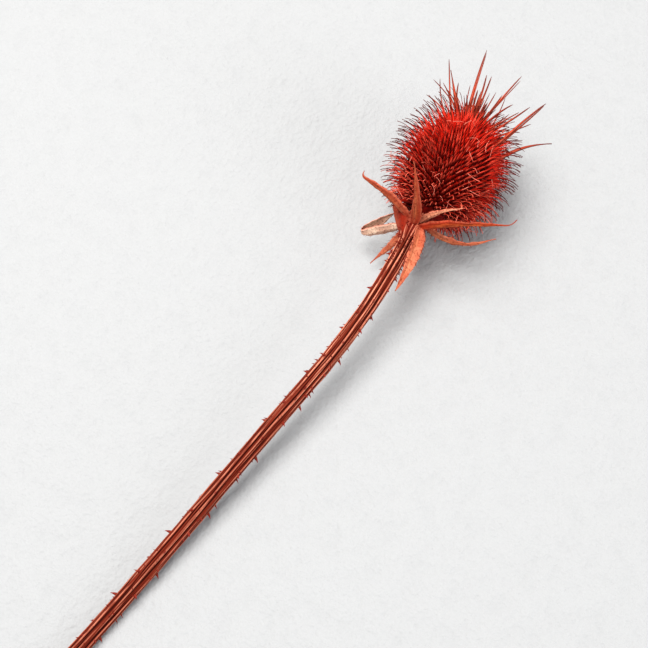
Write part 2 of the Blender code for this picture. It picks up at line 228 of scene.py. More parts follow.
def cleared(points, least=OFF_FLOOR):
    """Raises points that are lower than the least height."""
    points[..., 2] = maximum(points[..., 2], least)
    return points


def resting(points, clearance):
    """Bends what would sink below the surface onto it: z becomes half of z plus the root of z squared plus c
    squared, less what that adds high up."""
    z = points[..., 2] - clearance
    points[..., 2] = clearance + 0.5 * (z + np.sqrt(z * z + BENDS_WITHIN**2)) - BENDING_ADDS
    return points


def circle(sides):
    """A round profile, as (across, outwards) rows."""
    return np.stack((cos(turns(sides)), sin(turns(sides))), axis=-1)


def summed(ways, step):
    """A path's points from its directions: the running sum of each two neighbours' mean, as long as the step."""
    moves = unit(ways[..., 1:, :] + ways[..., :-1, :]) * step
    return np.concatenate((np.zeros_like(moves[..., :1, :]), np.cumsum(moves, axis=-2)), axis=-2)


def swept(paths, aside, profile, across, outwards):
    """A profile carried along many paths at once: point + side * u * across + normal * v * outwards.

    paths is (pieces, steps, 3), aside is a vector for each piece or step, profile is (sides, 2), and across and
    outwards are half sizes for each step.
    """
    along = unit(np.gradient(paths, axis=1))
    side = np.broadcast_to(aside if aside.ndim == 3 else aside[:, None, :], paths.shape)
    side = unit(side - along * np.sum(side * along, axis=-1, keepdims=True))
    normal = np.cross(along, side)
    across, outwards = (np.broadcast_to(size, paths.shape[:2])[..., None, None] for size in (across, outwards))
    return (paths[:, :, None] + side[:, :, None] * (profile[:, :1] * across)
            + normal[:, :, None] * (profile[:, 1:] * outwards))


def linked(name, data):
    """A new object in the scene."""
    made = bpy.data.objects.new(name, data)
    bpy.context.scene.collection.objects.link(made)
    return made


def skin(name, rings, look, slot, *nodes, **values):
    """A closed mesh over rings of points, (pieces, steps, sides, 3), with a pole at each end of each piece.

    Each step's ring is joined to the next by quads and each end ring to the middle of its points. values are
    attributes for each piece, step or corner. Rings run anticlockwise seen from the far end. The mesh rides on
    the one body and stands for the nodes. The slot is not used.
    """
    def ends(items):
        return np.stack((items[:, 0].mean(axis=1), items[:, -1].mean(axis=1)), axis=1)

    pieces, steps, sides = rings.shape[:3]
    index = np.arange(pieces * steps * sides).reshape(pieces, steps, sides)
    poles = index.size + np.arange(pieces * 2).reshape(pieces, 2)
    after = np.roll(index, -1, axis=2)
    quads = np.stack((index[:, :-1], after[:, :-1], after[:, 1:], index[:, 1:]), axis=-1).reshape(-1, 4)
    starts, stops = (np.broadcast_to(poles[:, [end]], (pieces, sides)) for end in (0, 1))
    low = np.stack((after[:, 0], index[:, 0], starts), axis=-1).reshape(-1, 3)
    high = np.stack((index[:, -1], after[:, -1], stops), axis=-1).reshape(-1, 3)
    points = np.concatenate((rings.reshape(-1, 3), ends(rings).reshape(-1, 3)))
    mesh = bpy.data.meshes.new(name)
    mesh.from_pydata(points.tolist(), [], quads.tolist() + low.tolist() + high.tolist())
    mesh.polygons.foreach_set("use_smooth", np.ones(len(mesh.polygons), dtype=bool))
    for key, value in values.items():
        value = np.asarray(value, dtype=float)
        value = np.broadcast_to(value.reshape(value.shape + (1,) * (3 - value.ndim)), rings.shape[:3])
        layer = mesh.attributes.new(key, "FLOAT", "POINT")
        layer.data.foreach_set("value", np.concatenate((value.ravel(), ends(value).ravel())).astype(np.float32))
    mesh.materials.append(look)
    mesh.update()
    piece = linked(name, mesh)
    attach(piece, "root")
    if nodes:
        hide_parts(*nodes)


# ---- the stem's rules

def stem_line(steps):
    """Points and directions on the stem's middle: its headings are summed back from the neck. It starts level
    and swings round to the head's heading."""
    share = levels(steps + 1)[0]
    turned = smooth((share - TURN_STARTS_AT) / (1 - TURN_STARTS_AT))
    ways = heading(HEAD_HEADING - STEM_TURN * (1 - turned), RISE * smooth(share / RISES_OVER))
    return NECK - summed(ways[::-1], STEM_LENGTH / steps)[::-1], ways


def flare(share):
    """0 on the stalk and 1 on the receptacle."""
    return smooth(1 + (RECEPTACLE_LENGTH - (1 - share) * STEM_LENGTH) / FLARE_LENGTH)


def stem_radius(share):
    """Nearly even, then the flare into the receptacle."""
    return between(between(STEM_RADIUS_CUT, STEM_RADIUS_NECK, share), RECEPTACLE_RADIUS, flare(share))


def rib_wave(turn, sharpness):
    """1 on a rib and -1 in a groove; sharpness narrows the ribs."""
    wave = -cos(RIBS * (turn + QUARTER))
    return (1 - sharpness) * wave + sharpness * (2 * ((wave + 1) / 2) ** 2.2 - 1)


def stem_places(share, turn):
    """(middle, outward, along) at these shares of the stem's length and turns round it."""
    points, ways = stem_line(400)
    at = levels(len(points))[0]
    middle, along = (np.stack([np.interp(share, at, row) for row in rows.T], axis=-1) for rows in (points, ways))
    along = unit(along)
    aside = unit(np.cross(UP, along))
    turn = np.asarray(turn)[..., None]
    return middle, aside * cos(turn) + np.cross(along, aside) * sin(turn), along


# ---- node groups and materials

class Nodes:
    """Short calls that add nodes to a tree and link them."""

    def __init__(self, tree):
        self.tree = tree

    def put(self, socket, value):
        """Links or sets a socket. A colour may leave out its alpha."""
        if isinstance(value, bpy.types.NodeSocket):
            self.tree.links.new(value, socket)
        else:
            socket.default_value = (*value, 1) if socket.type == "RGBA" and len(value) == 3 else value

    def add(self, kind, settings=(), values=(), **inputs):
        """A node. values go to its first sockets and inputs to the sockets of those names."""
        made = self.tree.nodes.new(kind)
        for key, value in dict(settings).items():
            setattr(made, key, value)
        for socket, value in zip(made.inputs, values):
            self.put(socket, value)
        for key, value in inputs.items():
            self.put(made.inputs[key.replace("_", " ")], value)
        return made

    def math(self, operation, *values):
        return self.add("ShaderNodeMath", {"operation": operation}, values).outputs[0]

    def times(self, first, *others):
        for other in others:
            first = self.math("MULTIPLY", first, other)
        return first

    def plus(self, a, b):
        return self.math("ADD", a, b)

    def ramp(self, value, low, high, to_low=0, to_high=1):
        """Eases from to_low to to_high while the value goes from low to high."""
        return self.add("ShaderNodeMapRange", {"interpolation_type": "SMOOTHSTEP"},
                        (value, low, high, to_low, to_high)).outputs[0]

    def mix(self, share, a, b, blend="MIX"):
        made = self.add("ShaderNodeMix", {"data_type": "RGBA", "blend_type": blend}, (share,))
        self.put(made.inputs[6], a)
        self.put(made.inputs[7], b)
        return made.outputs[2]

    def value(self, name):
        return self.add("ShaderNodeAttribute", {"attribute_name": name}).outputs["Fac"]

    def place(self):
        return self.add("ShaderNodeTexCoord").outputs["Object"]

    def noise(self, vector, scale, detail=3):
        made = self.add("ShaderNodeTexNoise", Vector=vector, Scale=scale, Detail=detail, Roughness=0.55)
        return made.outputs["Fac"]

    def use(self, name, builder, **inputs):
        """Places the shared group, built once, with its own values."""
        tree = bpy.data.node_groups.get(name) or builder()
        return self.add("ShaderNodeGroup", {"node_tree": tree}, **inputs).outputs


class Look(Nodes):
    """A material, with the two shared groups and its Principled shader."""

    def __init__(self, name):
        self.material = bpy.data.materials.new(name)
        self.material.use_nodes = True
        super().__init__(self.material.node_tree)

    def dye(self, colour, pale, fade, shade, scale, depth):
        return self.use("uneven_dye", uneven_dye_group, Colour=colour, Pale=pale, Fade=fade, Shade=shade,
                        Blotch_Scale=scale, Depth=depth)

    def fibre(self, across, along, shade, count, stretch):
        return self.use("plant_fibre", fibre_group, Across=across, Along=along, Shade=shade, Count=count,
                        Stretch=stretch)

    def finish(self, colour, roughness, height=None, strength=0.4, distance=0.0002, shine=0.5, tint=(1, 1, 1)):
        """Feeds the shader. A height goes through one Bump node into its normal."""
        sockets = {"Base Color": colour, "Roughness": roughness, "Specular IOR Level": shine, "Specular Tint": tint}
        if height is not None:
            bump = self.add("ShaderNodeBump", Strength=strength, Distance=distance, Height=height)
            sockets["Normal"] = bump.outputs[0]
        for key, value in sockets.items():
            self.put(self.tree.nodes["Principled BSDF"].inputs[key], value)
        return self.material


GREY = (0.5, 0.5, 0.5, 1)


def group(name, inputs, outputs):
    """An empty node group with these sockets and defaults; a tuple makes a colour and a number a float."""
    tree = bpy.data.node_groups.new(name, "ShaderNodeTree")
    for direction, sockets in (("INPUT", inputs), ("OUTPUT", outputs)):
        for label, default in sockets.items():
            kind = "NodeSocketColor" if isinstance(default, tuple) else "NodeSocketFloat"
            tree.interface.new_socket(label, in_out=direction, socket_type=kind).default_value = default
    nodes = Nodes(tree)
    return tree, nodes, nodes.add("NodeGroupInput").outputs, nodes.add("NodeGroupOutput").inputs


def uneven_dye_group():
    """Dye that took unevenly: the colour is darkened and shifted by a soft blotch and by each piece's own
    shade, and faded towards the pale colour where the fade mask says; some looks feed painted highlights
    through that fade."""
    tree, nodes, given, out = group(
        "uneven_dye", {"Colour": GREY, "Pale": GREY, "Fade": 0, "Shade": 0.5, "Blotch Scale": 300, "Depth": 0.5},
        {"Colour": GREY, "Blotch": 0})
    blotch = nodes.ramp(nodes.noise(nodes.place(), given["Blotch Scale"], 4), 0.3, 0.72)
    mixed = nodes.plus(nodes.times(blotch, 0.45), nodes.times(given["Shade"], 0.55))
    dark = nodes.mix(1, given["Colour"], (0.42, 0.22, 0.2), "MULTIPLY")
    share = nodes.times(nodes.math("SUBTRACT", 1, mixed), given["Depth"])
    nodes.put(out["Colour"], nodes.mix(given["Fade"], nodes.mix(share, given["Colour"], dark), given["Pale"]))
    nodes.put(out["Blotch"], blotch)
    return tree


def fibre_group():
    """Fibres that run along a piece: fine noise stretched along it, from across and along values, as a streak
    mask and a height."""
    tree, nodes, given, out = group(
        "plant_fibre", {"Across": 0, "Along": 0, "Shade": 0, "Count": 8, "Stretch": 3}, {"Streak": 0, "Height": 0})
    place = nodes.add("ShaderNodeCombineXYZ", X=nodes.times(given["Across"], given["Count"]),
                      Y=nodes.times(given["Along"], given["Stretch"]), Z=nodes.times(given["Shade"], 37)).outputs[0]
    coarse, fine = nodes.noise(place, 1), nodes.noise(place, 3.1, 2)
    nodes.put(out["Streak"], nodes.ramp(coarse, 0.34, 0.66))
    nodes.put(out["Height"], nodes.plus(nodes.times(coarse, 0.65), nodes.times(fine, 0.35)))
    return tree


def bristle_look(settings):
    """Dyed bristle with painted light: painted shade at its root, where the bristles stand close, and further up it
    low on the head; painted shade between its keels and a painted orange salmon highlight on them; painted shade
    darkens its fine tips high on the head, and a painted salmon highlight, with some paler dry tips, lightens them
    low on it.
    """
    look = Look("dyed_bristle")
    along, shade, height, keel = (look.value(name) for name in ("along", "shade", "height", "keel"))
    # Painted shade: the dark root colour reaches further up the bristles low on the head
    rise = look.ramp(along, look.ramp(height, 0.4, 0.8, 0.16, 0.04), look.ramp(height, 0.1, 0.7, 0.72, 0.3))
    body = look.mix(look.ramp(height, 0.78, 0.95, 0, 0.45), settings.body_colour, settings.awn_colour)
    lit = look.mix(rise, settings.root_and_gap_shade_colour, body)
    # Painted shade between the keels, stronger low on the head
    groove = look.times(look.ramp(keel, 0.45, 0.05), look.ramp(height, 0.35, 0.6, 0.6, 0.28))
    lit = look.mix(groove, lit, settings.root_and_gap_shade_colour)
    # Painted shade darkens the fine tips, most of the way to the shade colour
    lit = look.mix(look.ramp(along, 0.46, 0.78, 0, 0.95), lit, settings.tip_and_channel_shade_colour)
    # The tips low on the head lighten to salmon: partly paler dry tips, partly a painted highlight
    dry = look.times(look.ramp(shade, 0.35, 0.7, 0, 0.85), look.ramp(height, 0.46, 0.24))
    # Painted salmon highlight on the keels, of random strength
    orange = look.times(look.ramp(shade, 0.2, 0.9, 0.06, 0.9), look.ramp(along, 0.12, 0.35),
                        look.ramp(along, 0.8, 0.5), look.ramp(keel, 0.35, 0.9))
    fade = look.math("MAXIMUM", look.times(look.ramp(along, 0.5, 0.8), dry), orange)
    dyed = look.dye(lit, settings.tip_and_highlight_colour, fade, shade, 260, 0.55)
    return look.finish(dyed["Colour"], look.ramp(along, 0, 1, 0.62, 0.44), shine=0.17, tint=(1, 0.3, 0.22))


def core_look(settings):
    """The head's body between the bristles: near black crimson, painted shade of the gaps between them."""
    look = Look("dyed_core")
    dyed = look.dye(settings.root_and_gap_shade_colour, settings.body_colour, look.times(look.value("along"), 0.25),
                    look.value("shade"), 420, 0.6)
    return look.finish(dyed["Colour"], 0.8, dyed["Blotch"], 0.5, shine=0.1)


def awn_look(settings):
    """Crown awn: orange red with fine fibres, a painted highlight in a pale tan line towards each margin, painted
    shade down the channel in its middle, and painted shade darkening its tip.
    """
    look, dark = Look("dyed_awn"), settings.tip_and_channel_shade_colour
    along, across, shade = (look.value(name) for name in ("along", "across", "shade"))
    fibre = look.fibre(across, along, shade, 3, 5)
    off = look.math("ABSOLUTE", look.plus(across, 0.05))
    # Painted highlight: a pale line along each side of the channel
    rib = look.ramp(look.math("ABSOLUTE", look.math("SUBTRACT", off, 0.58)), 0.26, 0.04)
    colour = look.mix(look.ramp(along, 0, 0.28), settings.body_colour, settings.awn_colour)
    colour = look.mix(look.times(fibre["Streak"], 0.45), colour, (0.15, 0.012, 0.006))
    # Painted shade down the channel in the middle
    colour = look.mix(look.ramp(off, 0.34, 0.14, 0, 0.92), colour, dark)
    # Painted shade darkens the tip
    colour = look.mix(look.ramp(along, 0.55, 1, 0, 0.8), colour, dark)
    fade = look.times(rib, look.ramp(along, 0.9, 0.3, 0.03, 0.32))
    dyed = look.dye(colour, settings.tip_and_highlight_colour, fade, shade, 180, 0.5)
    return look.finish(dyed["Colour"], look.ramp(fibre["Streak"], 0, 1, 0.42, 0.6), fibre["Height"], 0.35,
                       tint=(1, 0.42, 0.28))


def floret_look(settings):
    """Dried floret: pale pinkish tan with darker creases."""
    look = Look("dried_floret")
    fade = look.ramp(look.value("along"), 0, 0.7, 0.9, 0.1)
    dyed = look.dye(settings.floret_colour, settings.tip_and_highlight_colour, fade, look.value("shade"), 900, 0.5)
    return look.finish(dyed["Colour"], 0.6, dyed["Blotch"], 0.4, 0.0001)


def stem_look(settings):
    """Dry dyed stalk: painted shade makes its grooves near black and a painted highlight pales its orange brown
    ribs, broken by the long fibres; the ribs are smoother too.
    """
    look = Look("dyed_stem")
    ridge, along, around = (look.value(name) for name in ("ridge", "along", "across"))
    fibre = look.fibre(around, along, 0.3, 52, 26)
    # Painted shade: the grooves darken to the near black groove colour
    colour = look.mix(look.ramp(ridge, -0.55, 0.02), settings.groove_shade_and_streak_colour, settings.bark_colour)
    # Painted highlight: the ribs pale towards the ridge colour, more towards the head, broken by the fibres
    lit_ridges = look.times(look.ramp(ridge, 0.05, 0.42), look.ramp(along, 0.45, 0.8, 0.6, 1),
                      look.ramp(fibre["Streak"], 0.1, 0.7, 0.15, 1))
    # The fibre streaks darken towards the same colour
    colour = look.mix(look.times(fibre["Streak"], 0.3), colour, settings.groove_shade_and_streak_colour)
    red = look.mix(look.ramp(along, 0.93, 1), colour, (0.22, 0.014, 0.007))
    dyed = look.dye(red, settings.ridge_highlight_colour, lit_ridges, 0.7, 150, 0.5)
    return look.finish(dyed["Colour"], look.ramp(ridge, -0.7, 0.6, 0.8, 0.44), fibre["Height"], 0.5, 0.00025,
                       shine=0.1, tint=(1, 0.42, 0.3))


def pith_look(settings):
    """The cut end: a woody rim round spongy tan pith."""
    look = Look("cut_pith")
    cells = look.add("ShaderNodeTexVoronoi", Vector=look.place(), Scale=2600).outputs["Distance"]
    dyed = look.dye(settings.pith_colour, settings.bark_colour, look.ramp(look.value("along"), 0.55, 0.95),
                    look.ramp(cells, 0, 0.6), 700, 0.7)
    return look.finish(dyed["Colour"], 0.85, cells, 0.8, 0.0003)


def thorn_look(settings):
    """Thorns and spines: bark red at the foot, red at the point."""
    look = Look("dyed_thorn")
    dyed = look.dye(settings.bark_colour, settings.thorn_colour, look.ramp(look.value("along"), 0.1, 0.7, 0.25, 0.9),
                    look.value("shade"), 500, 0.7)
    return look.finish(dyed["Colour"], 0.5, shine=0.4, tint=(1, 0.42, 0.28))


def leaf_look(settings):
    """Dry bract: terracotta with darker stripes between its veins, dyed red at its root and margins, painted shade
    that darkens and reddens one half of its fold, and bleached patches where the pale value is high."""
    look = Look("dry_leaf")
    along, across, shade, pale = (look.value(name) for name in ("along", "across", "shade", "pale"))
    off = look.math("ABSOLUTE", across)
    fibre = look.fibre(across, along, shade, 7.5, 5.5)
    colour = look.mix(look.ramp(off, 0.25, 0.9), settings.leaf_colour, settings.margin_colour)
    colour = look.mix(look.times(fibre["Streak"], 0.84), colour, settings.vein_colour)
    # Painted shade: one half of the fold, by the across value and the piece's shade, darkens to deep red
    shaded_half = look.ramp(look.plus(across, look.times(shade, 0.3)), 0.05, 0.45, 0, 0.55)
    colour = look.mix(shaded_half, colour, (0.3, 0.016, 0.006))
    colour = look.mix(look.ramp(along, 0.2, 0.02, 0, 0.85), colour, (0.42, 0.03, 0.011))
    place = look.place()
    patch = look.ramp(look.noise(place, 170, 4), 0.42, 0.7)
    lined = look.times(look.math("MAXIMUM", look.ramp(off, 0.72, 1), look.ramp(off, 0.16, 0.03)), 0.12)
    bleached = look.times(pale, look.plus(0.46, look.times(patch, 0.52)))
    fade = look.math("MINIMUM", look.plus(lined, bleached), 0.93)
    cream = look.mix(look.ramp(pale, 0.75, 1), settings.pale_colour, (1, 0.74, 0.54))
    dyed = look.dye(colour, cream, fade, shade, 210, 0.55)
    rim = look.ramp(look.plus(off, look.times(patch, 0.1)), 0.9, 1.02)
    colour = look.mix(look.times(rim, look.ramp(pale, 0.3, 0.7), 0.55), dyed["Colour"], settings.margin_colour)
    colour = look.mix(look.ramp(look.noise(place, 1150, 2), 0.5, 0.68, 0, 0.66), colour, settings.vein_colour)
    height = look.plus(look.times(fibre["Height"], 0.8), look.times(patch, 0.2))
    return look.finish(colour, look.ramp(fibre["Streak"], 0, 1, 0.6, 0.82), height, 0.62, 0.0003,
                       shine=0.08, tint=(1, 0.44, 0.26))


def floor_look(settings):
    """Pale plaster with a faint lumpy relief."""
    look = Look("pale_plaster")
    place = look.place()
    relief = look.plus(look.noise(place, 120, 4), look.times(look.noise(place, 520), 0.7))
    colour = look.mix(look.ramp(relief, 0.4, 1, 0, 0.05), settings.floor_colour, (0.7, 0.7, 0.69))
    return look.finish(colour, 0.85, relief, 0.55, 0.0019, shine=0.2)


# ---- pieces

def cut_end(settings, rim, middle):
    """The cut: rings from the rim to the middle, first outwards by a hair, then sinking into a shallow
    hollow. The rim ring's points shrink towards its middle by a share for each ring."""
    shrink = np.array((1, 0.985, 0.9, 0.8, 0.72, 0.5, 0.25, 0.06))
    proud = np.array((0.02, 0.08, 0.14, 0.07, 0, -0.02, 0, 0.01)) / 1000
    along = stem_places(0, 0)[2]
    rings = middle + (rim - middle) * shrink[:, None, None] - along * proud[:, None, None]
    low = rim[None] + along * 0.0008 + (middle - rim) * 0.02
    skin("stem_cut", np.concatenate((low, rings))[None, :, ::-1], pith_look(settings), "dyed_stem",
         along=np.concatenate(((1,), shrink))[None])


class ThistleStem(bpy.types.Operator):
    """A ribbed tube: its radius is the stalk's mean radius times one plus the rib wave and fine grooves"""

    bl_idname = "thistle.build_stem"
    bl_label = "Stem"

    def execute(self, context):
        settings = context.scene.thistle_stem
        steps, sides = 340, 112
        s, turn = 1 - (1 - levels(steps).T) ** 1.35, turns(sides)
        middle, out, _ = stem_places(np.repeat(s, sides, axis=1), np.broadcast_to(turn, (steps, sides)))
        drift = 0.07 * sin(s * 19) + 0.05 * sin(s * 47 + 2)
        ribs = rib_wave(turn + drift * sin(2 * turn + s * 7), settings.ridge_sharpness * (1.25 - s))
        bend = 0.1 * sin(s * 23 + 1) + 0.06 * sin(s * 61)
        fine = cos(3 * RIBS * (turn + bend * 0.4) + 2 * sin(2 * turn))
        fine = fine * (0.65 + 0.35 * cos(3 * turn + s * 40))
        finest = cos(6 * RIBS * turn + 3 * sin(3 * turn + s * 25))
        knots = (sin(s * 91) * cos(turn + s * 9) + sin(s * 37 + 1)) * 0.012
        forked = cos(13 * turn + 2.2 * sin(s * 17))
        lobed = cos(3 * turn + 1 + 1.5 * sin(s * 9))
        fade = 1 - 0.7 * flare(s)
        grown = 1 + fade * (0.6 * RIB_DEPTH * ribs + 0.05 * fine + 0.036 * forked + 0.009 * finest + knots)
        radius = stem_radius(s) * (grown + 0.018 * fade * lobed)
        ridge = 0.36 * ribs + 0.38 * fine + 0.28 * forked + 0.14 * finest
        rings = cleared(middle + out * radius[..., None], 0)
        skin("stem_bark", rings[None], stem_look(settings), "dyed_stem", "stem", ridge=ridge[None], along=s.T,
             across=(sin(turn) + cos(turn) * 0.37)[None, None])
        cut_end(settings, rings[0], middle[0, 0])
        return {"FINISHED"}


def thorn_rings(share, turn, height, width, length, sides):
    """Thorns on the stem: paths that leave the bark and hook back along it, width falling as (1 - t) to 0.9.

    At t of its height a thorn has moved out by t and back along the stem by its lean times t to 1.6. Those that
    would end under the surface are left out. It has as many steps as sides.
    """
    middle, out, along = stem_places(share, turn)
    radius = stem_radius(share) * (1 + 0.5 * RIB_DEPTH * (1 - 0.7 * flare(share)) * rib_wave(turn, 0.5))
    t, tall = levels(sides), height[:, None]
    rise = t * (THORN_FOOT + tall) - THORN_FOOT
    root = middle + out * radius[:, None]
    paths = root[:, None] + out[:, None] * rise[..., None] - along[:, None] * (THORN_LEAN * tall * t**1.6)[..., None]
    slim = maximum((1 - t) ** 0.9, 0.06)
    width, length = (np.reshape(size, (-1, 1)) * slim for size in (width, length))
    return swept(paths, np.cross(along, out), circle(sides), width, length)[paths[:, -1, 2] > 0.0003]


class ThistleThorns(bpy.types.Operator):
    """Thorns on the ribs where the solids have them, and finer hooked spines that crowd together up the stem"""

    bl_idname = "thistle.grow_thorns"
    bl_label = "Thorns and spines"

    def execute(self, context):
        settings = context.scene.thistle_stem
        rng = np.random.default_rng(11)
        index = np.arange(THORNS)
        share = THORNS_END * (1 - (1 - (index + 0.5) / THORNS) ** 1.35)
        turn = math.tau * (index * THORN_TURN % RIBS + 0.5) / RIBS
        height = settings.thorn_height * rng.uniform(0.72, 1.08, THORNS)
        look = thorn_look(settings)
        rings = thorn_rings(share, turn, height, 0.00036, 0.0009, 6)
        skin("stem_thorns", rings, look, "dyed_stem", "stem", along=levels(6), shade=rng.uniform(0.2, 1, len(rings)))
        count = settings.fine_spines
        low = rng.uniform(0, 1, count) < 0.42
        share = np.where(low, rng.uniform(0.01, 0.9, count), 1 - 0.115 * rng.uniform(0.02, 1, count) ** 1.2)
        rib = rng.integers(0, RIBS, count)
        turn = math.tau * (rib + 0.5 + rng.normal(0, 0.1 + 0.22 * flare(share))) / RIBS
        height = rng.uniform(0.15, 1, count) ** 2 * 0.0011 + 0.0004
        height = height + 0.0006 * smooth((share - 0.88) / 0.1) * rng.uniform(0, 1, count)
        rings = thorn_rings(share, turn, height, 0.00013 + 0.12 * height, 0.0002 + 0.26 * height, 5)
        skin("stem_spines", rings, look, "dyed_stem", "stem", along=levels(5), shade=rng.uniform(0, 1, len(rings)))
        return {"FINISHED"}


def egg(share, turn):
    """The head's surface: polar angle pi times share, radius sine of it made egg-shaped, height one less its
    cosine."""
    polar, turn = np.broadcast_arrays(math.pi * np.asarray(share), turn)
    radius = HEAD_RADIUS * sin(polar) * (1 + EGG * cos(polar))
    height = HEAD_GAP + HEAD_LENGTH * (1 - cos(polar)) / 2
    return np.stack((radius * cos(turn), radius * sin(turn) + HEAD_ASIDE, height), axis=-1)


def spread_on_egg(count, first, last):
    """Shares and turns of points at even spacing on the egg, by the golden angle: the shares come from the
    running sum of ring length times step length."""
    table = np.linspace(first, last, 600)
    points = egg(table, 0) - EGG_MIDDLE
    steps = np.linalg.norm(np.diff(points, axis=0), axis=-1)
    area = np.concatenate(((0,), np.cumsum((points[1:, 0] + points[:-1, 0]) * steps)))
    share = np.interp((np.arange(count) + 0.5) / count * area[-1], area, table)
    return share, GOLDEN * np.arange(count)


def bristle_length(settings, share):
    return settings.bristle_short + settings.bristle_gain * share**0.8


def add_bristles(settings, rng):
    """Each bristle is a tapering tube whose angle to the axis grows by its curl times t to 1.6.

    Its half width falls smoothly over the first half to a hair's, which falls as (1 - t) to 0.25, and its
    broad foot fades as exp(-t / 0.11).
    """
    count, steps = settings.bristles, 9
    share, turn = spread_on_egg(count, FIRST_SHARE, LAST_SHARE)
    extra = 4 + 6 * (1 - share**2)
    root = between(ROOT_ANGLE_BASE, ROOT_ANGLE_APEX, share) + rng.normal(0, 1.6, count) - extra
    curl = 1.35 * CURL * (1.2 - 0.45 * share**2) * rng.uniform(0.8, 1.4, count) + 2.6 * extra
    stray = rng.uniform(0, 1, count) < 0.05
    curl = np.where(stray, curl + rng.uniform(10, 55, count), curl)
    length = (bristle_length(settings, share) + 0.0006) * np.clip(rng.normal(1, 0.08, count), 0.78, 1.2)
    length = length * np.where(rng.uniform(0, 1, count) < 0.36, 1.24, 0.74)
    length = length * (1 - 0.52 * smooth((share - 0.7) / 0.24))
    yaw = rng.normal(0, 0.035, count) + np.where(stray, rng.normal(0, 0.5, count), 0)
    roots = egg(share, turn)
    axis_point = roots * UP + EGG_MIDDLE
    roots = axis_point + (roots - axis_point) * 0.955
    t = levels(steps)
    first, last = radians(root)[:, None], radians(root + curl)[:, None]
    ways = radial(turn[:, None] + yaw[:, None] * t**1.5, between(first, last, t**1.6))
    paths = resting(placed(roots[:, None] + summed(ways, (length / (steps - 1))[:, None, None])), BRISTLES_REST)
    stout = rng.uniform(0.85, 1.15, count) * (1 + 0.28 * smooth((0.5 - share) / 0.2))
    slim = 0.32 * (1 - t) ** 0.25 + 0.68 * (1 - smooth(t / 0.6))
    half = 0.5 * settings.bristle_width * stout[:, None] * slim
    across, outwards = (maximum(shape * half, FINEST) + foot * exp(-t / 0.11)
                        for shape, foot in ((1, 0.0006), (0.78, 0.00034)))
    rings = swept(paths, radial(turn + QUARTER) @ PLANT_AXES, circle(len(LIT_CORNERS)), across, outwards)
    skin("head_bristles", rings, bristle_look(settings), "dyed_bristle", "seed_head", along=t,
         shade=rng.uniform(0, 1, count), height=share, keel=LIT_CORNERS[None, None])


class ThistleHead(bpy.types.Operator):
    """The egg-shaped core with shallow cups, and bristles by the golden angle that each curve to the base"""

    bl_idname = "thistle.build_head"
    bl_label = "Seed head"

    def execute(self, context):
        settings = context.scene.thistle_head
        s, turn = np.linspace(0.012, 0.988, 120)[:, None], turns(160)
        wave = cos(21 * turn + 60 * s) * cos(34 * turn - 44 * s)
        points = egg(s, turn)
        middle = points.mean(axis=1, keepdims=True)
        points = middle + (points - middle) * (0.975 + 0.012 * wave[..., None])
        skin("head_core", placed(points)[None], core_look(settings), "dyed_bristle", "seed_head",
             along=(wave * 0.5 + 0.5)[None], shade=0.5)
        add_bristles(settings, np.random.default_rng(23))
        return {"FINISHED"}


def crown_rows(share, turn, length, bend, broad):
    """Rows like the tall awns': the more an awn leans, the lower its root is."""
    lean, root = between(LEAN_INNER, LEAN_OUTER, share**1.2), between(CROWN_TO, CROWN_FROM, share)
    return np.stack((np.degrees(turn), lean, length, bend, root, np.full(len(share), broad)), axis=-1)


def add_straps(name, settings, rows, width, steps, rng):
    """At t of its length a strap's angle to the axis is its lean plus its bend times t, and its half width
    falls slowly and then to a fine point, or as (1 - t) to 0.9 where it is very broad."""
    count = len(rows)
    turn, lean, length, bend, share, broad = rows.T[..., None]
    turn, lean, bend = radians(turn), radians(lean), radians(bend)
    t = levels(steps)
    yaw = rng.normal(0, 0.05, count)[:, None] * t**2
    paths = egg(share, turn) + radial(turn + yaw, lean + bend * t) * (t * length - AWN_SINK)[..., None]
    paths = resting(placed(paths), AWNS_REST)
    half = 0.5 * width * broad * rng.uniform(0.9, 1.1, count)[:, None]
    half = half * maximum(np.where(broad > 1.8, (1 - t) ** 0.9, (1 - t) ** 0.28), 0.13)
    aside = radial(turn + QUARTER) @ PLANT_AXES
    twist = rng.normal(0, 0.4, count)[:, None, None] * (t**1.3)[..., None]
    normal = np.cross(unit(np.gradient(paths, axis=1)), np.broadcast_to(aside, paths.shape))
    side = aside * cos(twist) + normal * sin(twist)
    rings = swept(paths, side, AWN_PROFILE, half, half * 0.62 + 0.00006)
    skin(name, rings, awn_look(settings), "dyed_bristle", "seed_head", along=t,
         across=AWN_PROFILE[None, None, :, 0], shade=rng.uniform(0.3, 1, count))


class ThistleAwns(bpy.types.Operator):
    """Crown awns: channelled straps on the solids' rule, with finer ones between, each bending to one side"""

    bl_idname = "thistle.grow_awns"
    bl_label = "Crown awns"

    def execute(self, context):
        settings = context.scene.thistle_head
        rng = np.random.default_rng(37)
        index = np.arange(AWNS)
        length = between(AWN_SHORTEST, AWN_LONGEST, 0.5 + 0.5 * cos(2.4 * index * index))
        rows = crown_rows(np.sqrt((index + 0.5) / AWNS), GOLDEN * index, length, 16 * sin(5.1 * index + 0.7), 0.8)
        long = TALL_AWNS[(TALL_AWNS[:, 2] > 0.0295) & (TALL_AWNS[:, 1] < 28) & (TALL_AWNS[:, 3] < 10)]
        twins = long * (1, 1, 0.95, 1, 1, 0.6) + (4, 1.2, 0, 1, 0.008, 0)
        add_straps("crown_awns", settings, np.concatenate((TALL_AWNS, rows, twins)), settings.awn_width, 16, rng)
        count = settings.fine_awns
        index = np.arange(count) + 0.5
        rows = crown_rows(1.08 * np.sqrt(index / count), GOLDEN * index + 0.4, rng.uniform(0.011, 0.021, count),
                          rng.normal(6, 14, count), 1)
        add_straps("fine_awns", settings, rows, settings.awn_width * 0.5, 10, rng)
        return {"FINISHED"}


